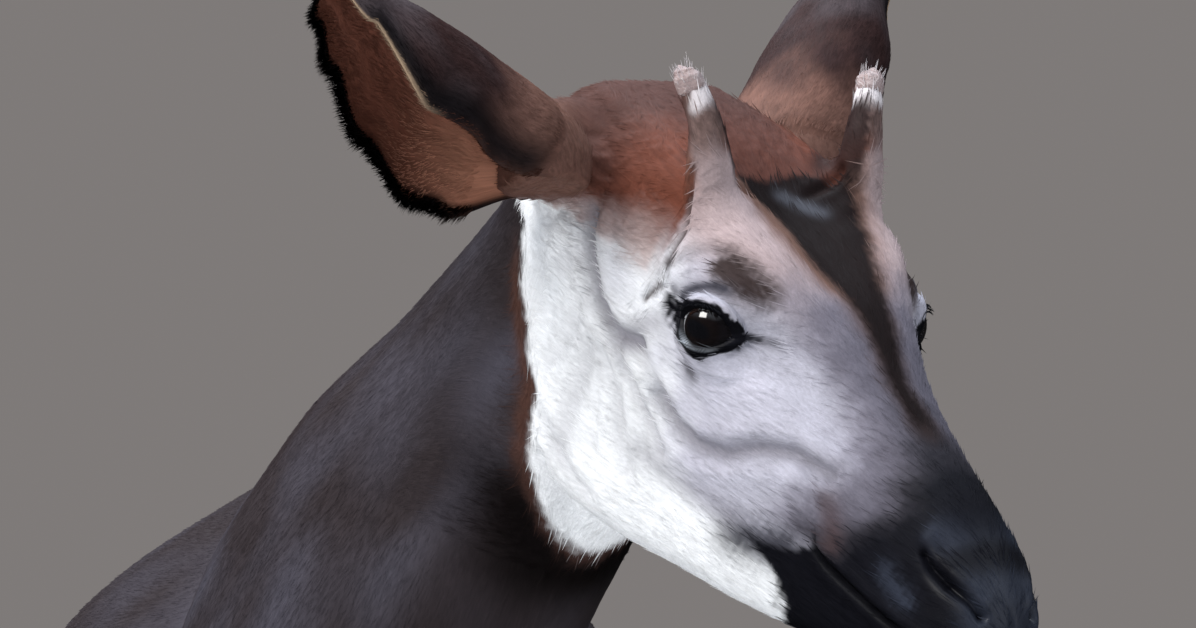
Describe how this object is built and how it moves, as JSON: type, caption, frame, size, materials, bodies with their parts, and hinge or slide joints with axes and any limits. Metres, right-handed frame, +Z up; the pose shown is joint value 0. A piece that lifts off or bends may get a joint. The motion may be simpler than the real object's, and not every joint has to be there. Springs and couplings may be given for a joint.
{
  "type": "okapi model",
  "caption": "Life-size still model of an adult male okapi standing square, its head turned to its left and lowered, with short ossicones and cupped ears.",
  "frame": {"origin": "on the floor under the middle of the animal's box, seen from above", "axes": "+X the way the body faces, +Y the animal's left, +Z up"},
  "size_m": [1.9153, 0.6216, 1.8522],
  "materials": {
    "hide_dark": "short velvety hair, dark chocolate with a purplish sheen",
    "hide_pale": "short hair, greyish white",
    "ear_skin": "thin skin with fine brown hair",
    "bare_bone": "worn bone",
    "eye": "wet and dark",
    "hoof": "dull horn",
    "tail_hair": "coarse dark hair"
  },
  "bodies": {
    "root": {"head": "hide_pale", "neck_upper": "hide_dark", "neck_lower": "hide_dark", "torso": "hide_dark", "ear_right": "ear_skin", "eye_right": "eye", "ossicone_right": "hide_dark", "ossicone_tip_right": "bare_bone", "foreleg_upper_right": "hide_dark", "foreleg_lower_right": "hide_pale", "forehoof_inner_right": "hoof", "forehoof_outer_right": "hoof", "hindleg_upper_right": "hide_dark", "hindleg_lower_right": "hide_pale", "hindhoof_inner_right": "hoof", "hindhoof_outer_right": "hoof", "ear_left": "ear_skin", "eye_left": "eye", "ossicone_left": "hide_dark", "ossicone_tip_left": "bare_bone", "foreleg_upper_left": "hide_dark", "foreleg_lower_left": "hide_pale", "forehoof_inner_left": "hoof", "forehoof_outer_left": "hoof", "hindleg_upper_left": "hide_dark", "hindleg_lower_left": "hide_pale", "hindhoof_inner_left": "hoof", "hindhoof_outer_left": "hoof", "tail": "hide_dark", "tail_tuft": "tail_hair"}
  },
  "joints": []
}
